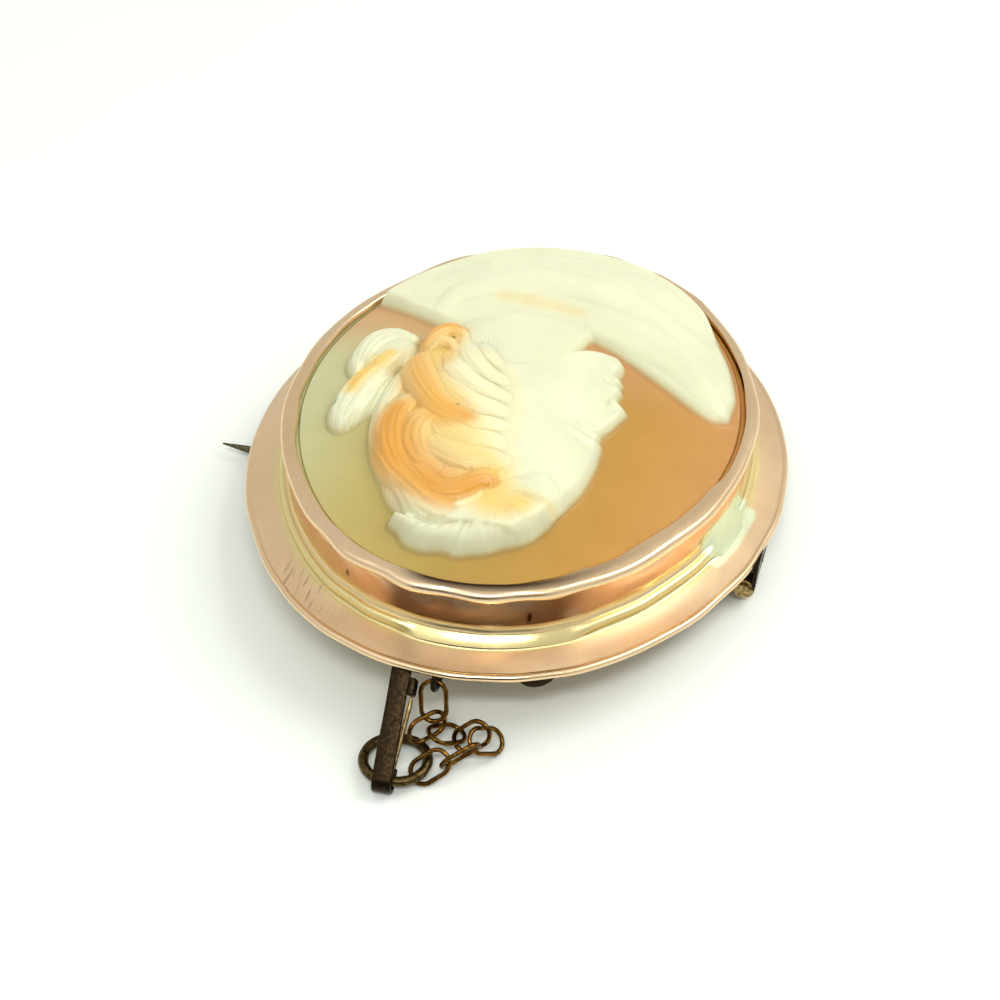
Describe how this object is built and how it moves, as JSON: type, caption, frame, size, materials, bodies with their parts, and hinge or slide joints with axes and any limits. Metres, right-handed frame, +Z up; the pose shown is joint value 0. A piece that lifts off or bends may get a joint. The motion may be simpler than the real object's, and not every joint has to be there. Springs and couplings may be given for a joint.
{
  "type": "oval cameo brooch",
  "caption": "Oval shell cameo in a rolled gold setting, with a hinged pin and a short safety chain, lying face up.",
  "frame": {"origin": "centre of the bounding box's base, on the surface that the brooch lies on", "axes": "+Z up from that surface, +Y towards the cameo's top, where the chain lies, and +X from the hinge to the pin's point"},
  "size_m": [0.0406, 0.0514, 0.0118],
  "materials": {
    "rose_gold": "rose gold, satin brushed, with a burnished rim",
    "shell": "carved shell, cream on an amber ground, soft polish",
    "brass": "tarnished brass",
    "chain_gold": "yellow gold wire"
  },
  "bodies": {
    "brooch": {"setting": "rose_gold", "cameo": "shell", "hinge_rivet": "brass", "chain_link_1": "chain_gold", "chain_link_2": "chain_gold", "chain_link_3": "chain_gold", "chain_link_4": "chain_gold", "chain_link_5": "chain_gold", "chain_link_6": "chain_gold", "chain_link_7": "chain_gold", "safety_ring": "brass", "safety_pin": "brass"},
    "pin": {"pin_stem": "brass"}
  },
  "joints": [
    {"name": "pin_swing", "type": "hinge", "parent": "brooch", "child": "pin", "pos_m": [-0.01905, 0.00139, 0.00104], "axis": [0, 0.9936, 0.1133], "range_deg": [0, 110]}
  ]
}
